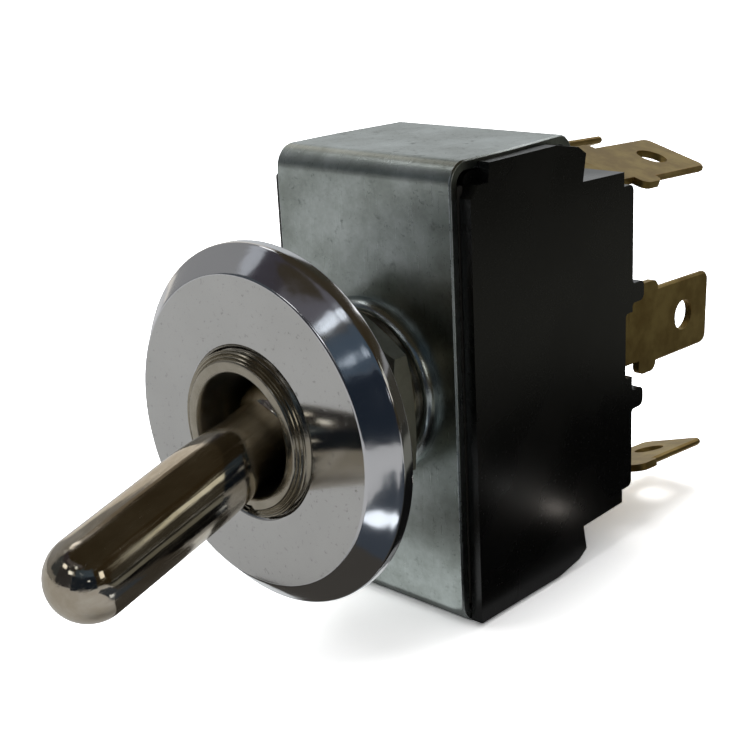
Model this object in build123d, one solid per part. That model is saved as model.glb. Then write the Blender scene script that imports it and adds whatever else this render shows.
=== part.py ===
from build123d import *
import os
from math import cos, radians, sin, sqrt, tan

# Panel toggle switch with two poles, lever thrown to its lower position, in millimetres.
# The origin is on the bushing's axis, where the hex nut's front face meets the back of a panel.
# -Y points out of the panel along the bushing, +Z is up along the body, +X is the right side.

# Bracket, folded from sheet steel
sheet = 0.8
bracket_width = 16.9
bracket_height = 34.4
bend_outer_radius = 1.7
flange_depth = 14.6
crimp_outer_radius = 1.6
crimp_drop = 1.35
flange_taper = 0.5
flange_taper_start = 6.5
bracket_edge_chamfer = 0.12

# Place of the front plate behind the panel
seat_to_plate = 4.9

# Bushing, turned brass with a 15/32 inch thread
thread_radius = 5.95
bushing_length = 12.8
bushing_chamfer = 0.4
bushing_face_radius = 5.26
mouth_radius = 4.48
mouth_lip = 0.3
mouth_lip_inset = 0.05
socket_radius = 3.55
socket_half_length = 1.3
throat_radius = 4.75
collar_radius = 6.85
collar_height = 1.1
collar_chamfer = 0.3
collar_slope = 0.65
spigot_radius = 5.5
swage_radius = 6.05
swage_length = 0.4
keyway_width = 1.8
keyway_radius = 4.95

# Nuts
nut_thread_clearance = 0.02
hex_across_flats = 14.3
hex_thickness = 2.0
hex_turn = 3.0
hex_chamfer = 0.45
nut_corner_margin = 0.1
bezel_back_gap = 4.6
bezel_radius = 12.9
bezel_face_radius = 11.1
bezel_thickness = 2.6
bezel_rim_height = 0.9
bezel_bevel_radius = 12.5
bezel_bevel_height = 1.25
bezel_mouth_chamfer = 0.25

# Lever and its pivot
lever_tilt = 16.9
pivot_from_plate = 8.35
lever_radius = 2.94
lever_tip_distance = 18.3
lever_shoulder_distance = 6.5
lever_shoulder_taper = 1.2
lever_neck_radius = 2.62
lever_neck_end = 3.3
lever_neck_taper = 0.3
socket_clearance = 0.1
pivot_pin_radius = 1.0
pivot_pin_clearance = 0.04
pivot_pin_sink = 0.45
pivot_pin_chamfer = 0.15
stem_radius = 1.5
stem_end_distance = 15.5

# Actuator block moulded on the lever's stem
actuator_start = 11.75
actuator_end = 17.2
actuator_half_height = 2.6
actuator_wall = 1.0
actuator_corner = 0.8
actuator_waist_wall = 0.7
actuator_waist_depth = 1.4

# Sprung plungers in the actuator
plunger_radius = 1.3
plunger_clearance = 0.06
plunger_tip_distance = 20.5
plunger_length = 6.3
plunger_wall = 0.45
plunger_spring_depth = 4.2
plunger_bore_start = 12.3
spring_wire_radius = 0.15
spring_wire_sides = 6
spring_clearance = 0.12
spring_turns = 5
spring_end_gap = 0.02

# Rockers and contacts, one set for each pole
pole_x = 4.2
rocker_tilt = 6.5
rocker_thickness = 0.7
rocker_half_width = 2.0
rocker_past_contact = 1.4
rocker_knee = 5.9
plunger_rocker_gap = 0.15
fulcrum_radius = 1.0
fulcrum_gap = 0.1
fulcrum_height = 2.8
cradle_wall = 0.7
contact_inset = 7.6
contact_radius = 1.5
contact_head = 0.6
contact_shank_radius = 0.7
contact_tail_radius = 1.1
contact_tail = 0.35
contact_gap = 0.1
contact_edge_chamfer = 0.2

# Terminals, brass blades 6.35 wide, stamped from 0.6 sheet and all bent down a little in use
blade_width = 6.35
blade_thickness = 0.6
blade_end_past_rear = 13.15
blade_length = 8.0
blade_tip_round = 0.8
blade_hole_radius = 1.3
blade_hole_from_end = 3.9
ear_width = 7.7
ear_length = 2.5
ear_round = 0.7
neck_width = 5.2
strip_bend_radius = 0.4
leg_width = 4.6
blade_roll = 17.0
blade_inset = 4.2
blade_edge_bevel = 0.18
upper_blade_droop = 3.0
centre_blade_droop = 2.0
lower_blade_droop = 3.8
outer_leg_past_contact = 1.7
fulcrum_ear_half_foot = 1.7
slot_clearance = 0.05

# Insulator card
card_thickness = 0.5
card_side_clearance = 0.05
card_hole_clearance = 0.25

# Base, a hollow moulding open towards the bracket
base_width = 19.0
lip_clearance = 0.05
lip_below_steel = 0.3
shoulder_rise = 0.5
shoulder_bulge = 0.4
lip_slope_start = 10.5
lip_slope_end = 13.2
lip_notch_depth = 1.9
lip_notch_height = 1.35
lip_notch_lead = 0.85
lip_notch_slope = 0.2
block_step = 3.4
block_draft = 0.2
block_past_floor = 2.25
pad_step = 1.3
pad_round = 0.5
pad_height = 1.3
rib_outer = 5.25
rib_inner = 3.65
rib_height = 1.6
rib_round = 0.5
rib_root = 0.3
rib_drop = 0.65
recess_drop = 0.4
recess_half_height = 2.7
recess_depth = 0.95
recess_round = 0.3
crown_half_width = 5.4
crown_slope = 0.7
crown_height = 1.4
side_wall = 0.95
end_wall = 1.35
cavity_shoulder_wall = 1.3
shelf_margin = 0.6
shelf_width = 5.4
partition_half_width = 0.6
partition_start = 12.2
tail_relief = 0.15

# Length by which a cut or a joined piece runs past a surface, and how close counts as on it
past = 1.0
touch = 0.01

# Worked out from the sizes above
plate_y = seat_to_plate
pivot_y = plate_y - pivot_from_plate
plate_back = plate_y + sheet
flange_end = plate_y + flange_depth
flange_inner = bracket_height / 2 - sheet
core_front = plate_back + card_thickness
core_half_height = flange_inner - lip_clearance
shoulder_half_height = bracket_height / 2 - crimp_drop - lip_clearance
block_half_height = bracket_height / 2 - block_step
pad_half_height = block_half_height - pad_step
crown_half_height = block_half_height - block_draft + crown_height
cavity_half_height = core_half_height - end_wall
contact_z = bracket_height / 2 - contact_inset
rocker_end = contact_z + rocker_past_contact
blade_z = bracket_height / 2 - blade_inset
shelf_half_height = contact_z + contact_radius + shelf_margin
floor_half_height = shelf_half_height - shelf_width + fulcrum_radius
core_half_width = bracket_width / 2 + lip_clearance
shoulder_back = flange_end - sheet - lip_clearance
lip_half_height = bracket_height / 2 - lip_below_steel
cavity_half_width = base_width / 2 - side_wall
centre_blade_x = cavity_half_width - lip_clearance - blade_thickness / 2
blade_x = pole_x + (blade_z - contact_z) * tan(radians(blade_roll))
ball_radius = socket_radius - socket_clearance
plunger_centre = plunger_tip_distance - plunger_radius
bushing_front = plate_y - bushing_length

# The tip of a plunger, seen from its rocker, follows an arc between the two ends of the throw
tilt = radians(lever_tilt)
rock = radians(rocker_tilt)
fulcrum_y = pivot_y + plunger_tip_distance + plunger_rocker_gap
fulcrum_y += rocker_thickness + fulcrum_radius + fulcrum_gap
floor_y = fulcrum_y + fulcrum_height
block_end_y = floor_y + block_past_floor
rear_y = block_end_y + pad_height
blade_end = rear_y + blade_end_past_rear
centre_leg_face = floor_y - blade_thickness
trace_mid = pivot_y + plunger_centre
end_y = pivot_y + plunger_centre * cos(tilt) - fulcrum_y
end_z = plunger_centre * sin(tilt)
trace_y = fulcrum_y + end_y * cos(rock) - end_z * sin(rock)
trace_z = end_z * cos(rock) + end_y * sin(rock)
trace_sag = trace_mid - trace_y
trace_radius = (trace_z ** 2 + trace_sag ** 2) / (2 * trace_sag)
dish_centre = trace_mid - trace_radius
dish_radius = trace_radius + plunger_radius + plunger_rocker_gap
wing_front = dish_centre + sqrt(dish_radius ** 2 - rocker_knee ** 2)
moving_contact_face = wing_front + rocker_thickness + contact_head
fixed_contact_face = moving_contact_face + (contact_z + contact_radius) * sin(rock) + contact_gap
outer_leg_face = fixed_contact_face + contact_head
shelf_y = outer_leg_face + blade_thickness


def turned(points, angle=360):
    """Revolve a section given as (radius, y) points about the bushing's axis."""
    return revolve(make_face(Polyline(*points, close=True)), Axis.Y, angle)


def side_plate(section, half_width):
    """Extrude a section drawn in (y, z) to both sides of the middle plane."""
    return extrude(Plane.YZ * section, half_width, both=True)


def span(y0, y1, z0, z1):
    """A rectangle in (y, z) given by its limits."""
    return Pos((y0 + y1) / 2, (z0 + z1) / 2) * Rectangle(y1 - y0, z1 - z0)


def block(x0, x1, y0, y1, z0, z1):
    """A box given by its limits."""
    centre = Pos((x0 + x1) / 2, (y0 + y1) / 2, (z0 + z1) / 2)
    return centre * Box(x1 - x0, y1 - y0, z1 - z0)


def rod(radius, y0, y1, x=0, z=0):
    """A cylinder along Y between two places."""
    return Pos(x, (y0 + y1) / 2, z) * Rot(90, 0, 0) * Cylinder(radius, y1 - y0)


def swung(shape, centre_y, angle):
    """Turn a shape about the X direction through a point on the bushing's axis."""
    return Pos(0, centre_y, 0) * Rot(angle, 0, 0) * Pos(0, -centre_y, 0) * shape


def outer_place(shape):
    """Set a terminal piece, drawn flat on the XY plane, at the upper right blade."""
    return Pos(blade_x, 0, blade_z) * Rot(0, blade_roll, 0) * shape


def centre_place(shape):
    """Set a terminal piece, drawn flat on the XY plane, at the centre right blade."""
    return Pos(centre_blade_x, 0, 0) * Rot(0, 90, 0) * shape


def lower(shape):
    return mirror(shape, about=Plane.XY)


def left(shape):
    return mirror(shape, about=Plane.YZ)


def four_ways(shape):
    """The upper right, lower right, upper left and lower left copies of a shape."""
    return {
        "upper_right": shape,
        "lower_right": lower(shape),
        "upper_left": left(shape),
        "lower_left": Rot(0, 180, 0) * shape,
    }


def make_bracket():
    half = bracket_height / 2
    outer = span(plate_y, flange_end, -half, half)
    front = outer.vertices().sort_by(Axis.X)[:2]
    outer = fillet(front, bend_outer_radius)
    back = outer.vertices().sort_by(Axis.X)[-2:]
    outer = fillet(back, crimp_outer_radius)
    inner = span(plate_back, flange_end - sheet, -flange_inner, flange_inner)
    inner = fillet(inner.vertices().sort_by(Axis.X)[:2], bend_outer_radius - sheet)
    inner = fillet(inner.vertices().sort_by(Axis.X)[-2:], crimp_outer_radius - sheet)
    opening = half - crimp_drop
    section = outer - inner - span(flange_end - 2 * sheet, flange_end + sheet, -opening, opening)
    shell = side_plate(section, bracket_width / 2)
    taper_y = plate_y + flange_taper_start
    edge = bracket_width / 2
    corner = Polyline(
        (edge, taper_y),
        (edge + sheet, taper_y),
        (edge + sheet, flange_end + sheet),
        (edge - flange_taper, flange_end + sheet),
        (edge - flange_taper, flange_end - crimp_outer_radius),
        close=True,
    )
    trim = extrude(make_face(corner), half + sheet, both=True)
    shell = shell - trim - left(trim) - rod(spigot_radius, plate_y - sheet, plate_back + sheet)
    rim = [e for e in shell.edges() if abs(abs(e.center().X) - edge) < touch]
    return chamfer(rim, bracket_edge_chamfer)


def make_bushing():
    inner_end = plate_back + swage_length
    socket_front = pivot_y - socket_half_length
    socket_back = pivot_y + socket_half_length
    section = [
        (mouth_radius, bushing_front),
        (bushing_face_radius, bushing_front),
        (thread_radius, bushing_front + bushing_chamfer),
        (thread_radius, plate_y - collar_height),
        (collar_radius - collar_slope, plate_y - collar_height),
        (collar_radius - collar_chamfer, plate_y - collar_height + collar_chamfer),
        (collar_radius, plate_y - collar_height + collar_slope),
        (collar_radius, plate_y),
        (spigot_radius, plate_y),
        (spigot_radius, plate_back),
        (swage_radius, plate_back),
        (swage_radius - swage_length / 2, inner_end),
        (throat_radius, inner_end),
        (socket_radius, socket_back),
        (socket_radius, socket_front),
        (mouth_radius - mouth_lip_inset, bushing_front + mouth_lip),
    ]
    body = turned(section)
    key_length = bushing_length - collar_height
    keyway = block(
        -keyway_width / 2,
        keyway_width / 2,
        bushing_front - past,
        bushing_front + key_length,
        -thread_radius - past,
        -keyway_radius,
    )
    pin_hole = Pos(0, pivot_y, 0) * Rot(0, 90, 0) * Cylinder(pivot_pin_radius, 3 * thread_radius)
    return body - keyway - pin_hole


def make_hex_nut():
    across_corners = hex_across_flats / cos(radians(30))
    prism = extrude(
        Plane.XZ * Rot(0, 0, hex_turn + 30) * RegularPolygon(across_corners / 2, 6),
        -hex_thickness,
    )
    flat = hex_across_flats / 2
    corner = across_corners / 2 + nut_corner_margin
    bore = thread_radius + nut_thread_clearance
    cone = [
        (bore, 0),
        (flat, 0),
        (corner, hex_chamfer),
        (corner, hex_thickness - hex_chamfer),
        (flat, hex_thickness),
        (bore, hex_thickness),
    ]
    return prism & turned(cone)


def make_bezel_nut():
    back = -bezel_back_gap
    face = back - bezel_thickness
    bore = thread_radius + nut_thread_clearance
    section = [
        (bore, back),
        (bezel_radius, back),
        (bezel_radius, back - bezel_rim_height),
        (bezel_bevel_radius, back - bezel_bevel_height),
        (bezel_face_radius, face),
        (bore + bezel_mouth_chamfer, face),
        (bore, face + bezel_mouth_chamfer),
    ]
    return turned(section)


def make_lever():
    tip = pivot_y - lever_tip_distance
    shoulder = pivot_y - lever_shoulder_distance
    neck_end = pivot_y - lever_neck_end
    shaft = rod(lever_radius, tip, shoulder) + Pos(0, tip, 0) * Sphere(lever_radius)
    neck = turned(
        [
            (0, shoulder),
            (lever_radius, shoulder),
            (lever_neck_radius, shoulder + lever_shoulder_taper),
            (lever_neck_radius, neck_end),
            (lever_neck_radius - lever_neck_taper, pivot_y),
            (0, pivot_y),
        ]
    )
    ball = Pos(0, pivot_y, 0) * Sphere(ball_radius)
    stem = rod(stem_radius, pivot_y, pivot_y + stem_end_distance)
    eye_radius = pivot_pin_radius + pivot_pin_clearance
    eye = Pos(0, pivot_y, 0) * Rot(0, 90, 0) * Cylinder(eye_radius, 3 * ball_radius)
    return swung(shaft + neck + ball + stem - eye, pivot_y, lever_tilt)


def make_pivot_pin():
    length = 2 * (thread_radius - pivot_pin_sink)
    pin = Rot(0, 90, 0) * Cylinder(pivot_pin_radius, length)
    return Pos(0, pivot_y, 0) * chamfer(pin.edges(), pivot_pin_chamfer)


def make_actuator():
    bore = plunger_radius + plunger_clearance
    half_width = pole_x + bore + actuator_wall
    y0 = pivot_y + actuator_start
    y1 = pivot_y + actuator_end
    body = block(-half_width, half_width, y0, y1, -actuator_half_height, actuator_half_height)
    body = fillet(body.edges().filter_by(Axis.X), actuator_corner)
    waist = pole_x - bore - actuator_waist_wall
    top = 2 * actuator_half_height
    body = body - block(-waist, waist, y1 - actuator_waist_depth, y1 + past, -top, top)
    body = body - rod(stem_radius, y0 - past, pivot_y + stem_end_distance)
    for side in (-1, 1):
        body = body - rod(bore, pivot_y + plunger_bore_start, y1 + past, side * pole_x)
    return swung(body, pivot_y, lever_tilt)


def make_plunger():
    start = pivot_y + plunger_tip_distance - plunger_length
    centre = pivot_y + plunger_centre
    body = rod(plunger_radius, start, centre, pole_x)
    body = body + Pos(pole_x, centre, 0) * Sphere(plunger_radius)
    cup = plunger_radius - plunger_wall
    body = body - rod(cup, start - past, start + plunger_spring_depth, pole_x)
    return swung(body, pivot_y, lever_tilt)


def make_spring():
    start = pivot_y + plunger_bore_start + spring_wire_radius + spring_end_gap
    end = pivot_y + plunger_tip_distance - plunger_length + plunger_spring_depth
    length = end - start - spring_wire_radius - spring_end_gap
    radius = plunger_radius - plunger_wall - spring_clearance - spring_wire_radius
    path = Helix(length / spring_turns, length, radius)
    section = RegularPolygon(spring_wire_radius, spring_wire_sides)
    wire = sweep(Plane(path @ 0, z_dir=path % 0) * section, path)
    spring = Pos(pole_x, start, 0) * Rot(-90, 0, 0) * wire
    return swung(spring, pivot_y, lever_tilt)


def make_rocker():
    strip = Pos(dish_centre, 0) * Circle(dish_radius + rocker_thickness)
    strip = strip - Pos(dish_centre, 0) * Circle(dish_radius)
    far = dish_centre + dish_radius + 2 * rocker_thickness
    section = strip & span(dish_centre, far, -rocker_knee, rocker_knee)
    for side in (-1, 1):
        inner = side * (rocker_knee - rocker_thickness)
        outer = side * rocker_end
        wing = span(wing_front, wing_front + rocker_thickness, min(inner, outer), max(inner, outer))
        section = section + wing
    reach = fulcrum_radius + fulcrum_gap
    section = section + (
        Pos(fulcrum_y, 0) * Circle(reach + cradle_wall)
        & span(trace_mid, fulcrum_y, -rocker_knee, rocker_knee)
    )
    ahead = Pos(dish_centre, 0) * Circle(dish_radius)
    section = section - ahead - Pos(fulcrum_y, 0) * Circle(reach)
    rocker = Pos(pole_x, 0, 0) * side_plate(section, rocker_half_width)
    for side in (-1, 1):
        wing_back = wing_front + rocker_thickness
        z = side * contact_z
        rocker = rocker - rod(contact_shank_radius, wing_front - past, wing_back + past, pole_x, z)
    return rocker


def rivet(head_y, strip_y0, strip_y1, tail_y):
    """A contact rivet at the pole's upper contact: head, shank through a strip and tail."""
    towards = 1 if head_y > strip_y0 else -1
    near = strip_y1 if towards > 0 else strip_y0
    far = strip_y0 if towards > 0 else strip_y1
    head = rod(contact_radius, min(near, head_y), max(near, head_y), pole_x, contact_z)
    rim = head.edges().sort_by(Axis.Y)[-1 if towards > 0 else 0]
    head = chamfer(rim, contact_edge_chamfer)
    shank = rod(contact_shank_radius, min(near, far), max(near, far), pole_x, contact_z)
    tail = rod(contact_tail_radius, min(far, tail_y), max(far, tail_y), pole_x, contact_z)
    return head + shank + tail


def make_moving_contact():
    back = wing_front + rocker_thickness
    return rivet(moving_contact_face, wing_front, back, wing_front - contact_tail)


def make_fixed_contact():
    return rivet(fixed_contact_face, outer_leg_face, shelf_y, shelf_y + contact_tail)


def strip_leg(leg_face, leg_length):
    """The neck and the leg of a terminal, bent at a right angle, drawn in (y, z)."""
    half = blade_thickness / 2
    neck = span(leg_face, rear_y + past, -half, half)
    leg = span(leg_face, leg_face + blade_thickness, -leg_length, half)
    section = neck + leg
    outer = section.vertices().sort_by_distance((leg_face, half))[0]
    section = fillet(outer, strip_bend_radius + blade_thickness)
    inner = section.vertices().sort_by_distance((leg_face + blade_thickness, -half))[0]
    return fillet(inner, strip_bend_radius)


def make_terminal(leg_face, leg_length, droop):
    """A terminal drawn flat: blade and neck along Y, leg towards -Z, droop a turn of the blade."""
    section = strip_leg(leg_face, leg_length)
    neck = side_plate(section, neck_width / 2)
    half = leg_width / 2
    bend = strip_bend_radius + blade_thickness
    for side in (-1, 1):
        inner = side * half
        outer = side * neck_width
        x0 = min(inner, outer)
        x1 = max(inner, outer)
        neck = neck - block(x0, x1, leg_face - past, leg_face + bend, -leg_length - past, -bend)
    ear_back = blade_end - blade_length
    ear_middle = ear_back - ear_length / 2
    blade = Pos(0, (ear_middle + blade_end) / 2) * Rectangle(blade_width, blade_end - ear_middle)
    blade = fillet(blade.vertices().sort_by(Axis.Y)[-2:], blade_tip_round)
    blade = extrude(blade, blade_thickness / 2, both=True)
    rim = blade.faces().sort_by(Axis.Z)[0].edges() + blade.faces().sort_by(Axis.Z)[-1].edges()
    blade = chamfer(rim, blade_edge_bevel)
    ears = Pos(0, ear_middle) * RectangleRounded(ear_width, ear_length, ear_round)
    ears = extrude(ears, blade_thickness / 2, both=True)
    root_y = rear_y + past
    root = Pos(0, (root_y + ear_middle) / 2) * Rectangle(neck_width, ear_middle - root_y)
    root = extrude(root, blade_thickness / 2, both=True)
    hole = Pos(0, blade_end - blade_hole_from_end, 0) * Cylinder(blade_hole_radius, blade_width)
    return neck + Pos(0, root_y, 0) * droop * Pos(0, -root_y, 0) * (blade + ears + root - hole)


def make_outer_terminal(droop):
    reach = (blade_z - contact_z) / cos(radians(blade_roll))
    terminal = make_terminal(outer_leg_face, reach + outer_leg_past_contact, Rot(droop, 0, 0))
    terminal = outer_place(terminal)
    return terminal - rod(contact_shank_radius, outer_leg_face - past, shelf_y + past, pole_x, contact_z)


def make_centre_terminal():
    leg_end = centre_blade_x - (pole_x - rocker_half_width)
    droop = Rot(0, 0, -centre_blade_droop)
    terminal = centre_place(make_terminal(centre_leg_face, leg_end, droop))
    foot = Polyline(
        (floor_y, -fulcrum_ear_half_foot),
        (floor_y, fulcrum_ear_half_foot),
        (fulcrum_y, fulcrum_radius),
        (fulcrum_y, -fulcrum_radius),
        close=True,
    )
    section = make_face(foot) + Pos(fulcrum_y, 0) * Circle(fulcrum_radius)
    ear = extrude(Plane.YZ * section, blade_thickness)
    first = pole_x - rocker_half_width
    second = pole_x + rocker_half_width - blade_thickness
    return terminal + Pos(first, 0, 0) * ear + Pos(second, 0, 0) * ear


def make_card():
    half_width = core_half_width - card_side_clearance
    half_height = bracket_height / 2 - bend_outer_radius
    card = block(-half_width, half_width, plate_back, core_front, -half_height, half_height)
    return card - rod(swage_radius + card_hole_clearance, plate_back - past, core_front + past)


def rear_section():
    """The rear block with its end pad, ribs and recess, in (y, z)."""
    back = block_end_y
    front = shoulder_back - past
    end_half = block_half_height - block_draft
    block_outline = Polyline(
        (front, -block_half_height),
        (back, -end_half),
        (back, end_half),
        (front, block_half_height),
        close=True,
    )
    section = make_face(block_outline)
    pad = span(back - past, rear_y, -pad_half_height, pad_half_height)
    section = section + fillet(pad.vertices().sort_by(Axis.X)[-2:], pad_round)
    for side in (-1, 1):
        low = min(side * rib_inner, side * rib_outer) - rib_drop
        rib = span(rear_y - past, rear_y + rib_height, low, low + rib_outer - rib_inner)
        section = section + fillet(rib.vertices().sort_by(Axis.X)[-2:], rib_round)
    flat_half = pad_half_height - pad_round - touch
    on_rear = [v for v in section.vertices() if abs(v.X - rear_y) < touch]
    section = fillet([v for v in on_rear if abs(v.Y) < flat_half], rib_root)
    recess_y = rear_y - recess_depth
    recess_end = rear_y + rib_height + past
    low = -recess_half_height - recess_drop
    recess = span(recess_y, recess_end, low, low + 2 * recess_half_height)
    return section - fillet(recess.vertices().sort_by(Axis.X)[:2], recess_round)


def core_section():
    """The base between the flanges, in (y, z)."""
    body = span(core_front, shoulder_back, -core_half_height, core_half_height)
    body = fillet(body.vertices(), crimp_outer_radius - sheet)
    bulge = shoulder_back + shoulder_bulge
    ledge = span(core_front + past, bulge, -shoulder_half_height, shoulder_half_height)
    return body + ledge + rear_section()


def side_section():
    """A side wall with its lip past the flange's edge, in (y, z)."""
    front = plate_back + lip_clearance
    notch = lip_half_height - lip_notch_height
    bulge = shoulder_back + shoulder_bulge
    outline = Polyline(
        (front, -lip_half_height),
        (plate_y + lip_slope_start, -lip_half_height),
        (plate_y + lip_slope_end, shoulder_rise - lip_half_height),
        (bulge, -shoulder_half_height),
        (shoulder_back, -block_half_height),
        (shoulder_back, block_half_height),
        (bulge, shoulder_half_height),
        (plate_y + lip_slope_end, lip_half_height - shoulder_rise),
        (plate_y + lip_slope_start, lip_half_height),
        (front + lip_notch_depth + lip_notch_slope, lip_half_height),
        (front + lip_notch_depth, notch),
        (front + lip_notch_lead, notch),
        (front, notch - lip_notch_lead),
        close=True,
    )
    return make_face(outline) + rear_section()


def terminal_slot(leg_face, leg_length):
    """The room that one terminal needs in the base, drawn like the terminal."""
    half = blade_thickness / 2 + slot_clearance
    wide = neck_width / 2 + slot_clearance
    slot = block(-wide, wide, leg_face, rear_y + rib_height + past, -half, half)
    front = plate_y + partition_start
    leg_back = leg_face + blade_thickness
    room = block(-wide, wide, front, leg_back, -leg_length - slot_clearance, half)
    bend = strip_bend_radius + half
    relief = block(-wide, wide, leg_back, leg_back + strip_bend_radius, -bend, half)
    return slot + room + relief


def make_base():
    core = side_plate(core_section(), core_half_width)
    wall = extrude(Plane.YZ * side_section(), base_width / 2 - core_half_width)
    wall = Pos(core_half_width, 0, 0) * wall
    body = core + wall + left(wall)
    crown = Polyline(
        (-crown_half_width, -block_half_height + block_draft),
        (-crown_half_width + crown_slope, -crown_half_height),
        (crown_half_width - crown_slope, -crown_half_height),
        (crown_half_width, -block_half_height + block_draft),
        (crown_half_width, block_half_height - block_draft),
        (crown_half_width - crown_slope, crown_half_height),
        (-crown_half_width + crown_slope, crown_half_height),
        (-crown_half_width, block_half_height - block_draft),
        close=True,
    )
    front = shoulder_back - past
    depth = block_end_y - front
    body = body + Pos(0, front, 0) * extrude(Plane.XZ * make_face(crown), -depth)
    shoulder_wall = shoulder_back - cavity_shoulder_wall
    wide = cavity_half_width
    tall = cavity_half_height
    cavity = block(-wide, wide, core_front - past, shoulder_wall, -tall, tall)
    shelf_half = shelf_half_height
    cavity = cavity + block(-wide, wide, core_front, shelf_y, -shelf_half, shelf_half)
    cavity = cavity + block(-wide, wide, core_front, floor_y, -floor_half_height, floor_half_height)
    partition = block(
        -partition_half_width,
        partition_half_width,
        plate_y + partition_start,
        floor_y + past,
        -shelf_half - past,
        shelf_half + past,
    )
    body = body - cavity + partition
    reach = (blade_z - contact_z) / cos(radians(blade_roll)) + outer_leg_past_contact
    outer_slot = outer_place(terminal_slot(outer_leg_face, reach))
    relief = rod(
        contact_tail_radius + tail_relief,
        shelf_y - past,
        shelf_y + contact_tail + tail_relief,
        pole_x,
        contact_z,
    )
    for cut in four_ways(outer_slot + relief).values():
        body = body - cut
    centre_slot = centre_place(terminal_slot(centre_leg_face, blade_thickness))
    return body - centre_slot - left(centre_slot)


def at_rest(piece):
    """Tilt a rocker piece to the closed upper contact."""
    return swung(piece, fulcrum_y, -rocker_tilt)


upper_terminal = make_outer_terminal(-upper_blade_droop)
lower_terminal = make_outer_terminal(lower_blade_droop)
outer_terminals = {
    "upper_right": upper_terminal,
    "lower_right": lower(lower_terminal),
    "upper_left": left(upper_terminal),
    "lower_left": Rot(0, 180, 0) * lower_terminal,
}
fixed_contacts = four_ways(make_fixed_contact())
moving_contacts = four_ways(make_moving_contact())
centre_terminal = make_centre_terminal()
rocker = at_rest(make_rocker())
plunger = make_plunger()
spring = make_spring()

nodes = {
    "bracket": make_bracket(),
    "bushing": make_bushing(),
    "hex_nut": make_hex_nut(),
    "bezel_nut": make_bezel_nut(),
    "lever": make_lever(),
    "pivot_pin": make_pivot_pin(),
    "actuator": make_actuator(),
    "plunger_right": plunger,
    "plunger_left": left(plunger),
    "plunger_spring_right": spring,
    "plunger_spring_left": left(spring),
    "rocker_right": rocker,
    "rocker_left": left(rocker),
    "insulator_card": make_card(),
    "base": make_base(),
    "terminal_centre_right": centre_terminal,
    "terminal_centre_left": left(centre_terminal),
}
for corner, terminal in outer_terminals.items():
    nodes["terminal_" + corner] = terminal
for corner, contact in fixed_contacts.items():
    nodes["fixed_contact_" + corner] = contact
for corner, contact in moving_contacts.items():
    nodes["moving_contact_" + corner] = at_rest(contact)

os.makedirs("parts", exist_ok=True)
for name, shape in nodes.items():
    solids = shape.solids()
    export_step(solids[0] if len(solids) == 1 else Compound(solids), "parts/" + name + ".step")
    print(name, len(solids), round(shape.volume, 2))
print("rocker dish", round(dish_radius, 3), "shelf", round(shelf_y - plate_y, 3))
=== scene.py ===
# %% [markdown]
# # A panel toggle switch, dressed for its photograph
#
# The switch has a bat lever of warm chrome, a threaded nickel bushing with a round bezel nut and a
# hex nut, a folded bracket of zinc-plated steel, a glossy black base and six brass push-on blades.
# The CAD frame brings every solid in its true place. This lesson gives each visible one the shape of
# its edges, its finish and the light it was photographed in. Lengths are written in millimetres, and
# MM turns them into Blender's metres.

# %% Load the frame
import bmesh
import bpy
from math import atan2, cos, pi, radians, sin
from mathutils import Matrix, Vector


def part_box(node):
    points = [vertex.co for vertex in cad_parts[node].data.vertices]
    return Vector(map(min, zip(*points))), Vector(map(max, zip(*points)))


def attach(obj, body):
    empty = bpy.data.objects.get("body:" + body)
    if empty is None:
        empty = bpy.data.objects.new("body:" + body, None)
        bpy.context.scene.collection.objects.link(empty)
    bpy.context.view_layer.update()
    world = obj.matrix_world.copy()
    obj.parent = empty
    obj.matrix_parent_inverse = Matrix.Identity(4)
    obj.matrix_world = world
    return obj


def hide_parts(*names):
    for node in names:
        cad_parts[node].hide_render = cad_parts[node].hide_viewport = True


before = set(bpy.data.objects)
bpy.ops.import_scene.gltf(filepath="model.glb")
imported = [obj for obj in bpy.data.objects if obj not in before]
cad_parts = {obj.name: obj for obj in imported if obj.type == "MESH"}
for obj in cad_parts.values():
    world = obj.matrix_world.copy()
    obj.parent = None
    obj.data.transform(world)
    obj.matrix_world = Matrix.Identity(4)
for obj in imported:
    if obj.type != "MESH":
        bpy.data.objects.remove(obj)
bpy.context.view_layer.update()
MM = 0.001


# %% [markdown]
# ## The main places of the switch
#
# The frame's origin is on the bushing's axis, in the hex nut's front face, and -Y points out of the
# panel. The sizes below repeat the ones that the solids were built with, so that a turned piece made
# here lies exactly where its solid lies.

# %% Sizes shared with the solids
plate_y = 4.9  # the bracket's front plate
pivot_y = -3.45  # the pin that the lever turns on
lever_tilt = 16.9  # degrees that the lever hangs below the axis
lever_radius = 2.93
thread_radius = 5.95
thread_pitch = 0.794
bushing_front = -7.9
bezel_back = -4.6
bezel_face = -7.2
face_radius = 11.10  # where the bezel nut's satin face ends and its bevel starts
floor_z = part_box("bracket")[0].z / MM
print("the bracket stands at z =", round(floor_z, 2), "mm")

# %% [markdown]
# ## Node maths
#
# A shader is easier to read as a formula than as a web of wires. The class below wraps one socket.
# Adding, subtracting or multiplying two of them, or raising one to a power, makes the Math node that
# does the same, so a stain or a lathe ring can be written as an expression. The reflected forms let a
# number stand first, as in 1.0 - mask.

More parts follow.
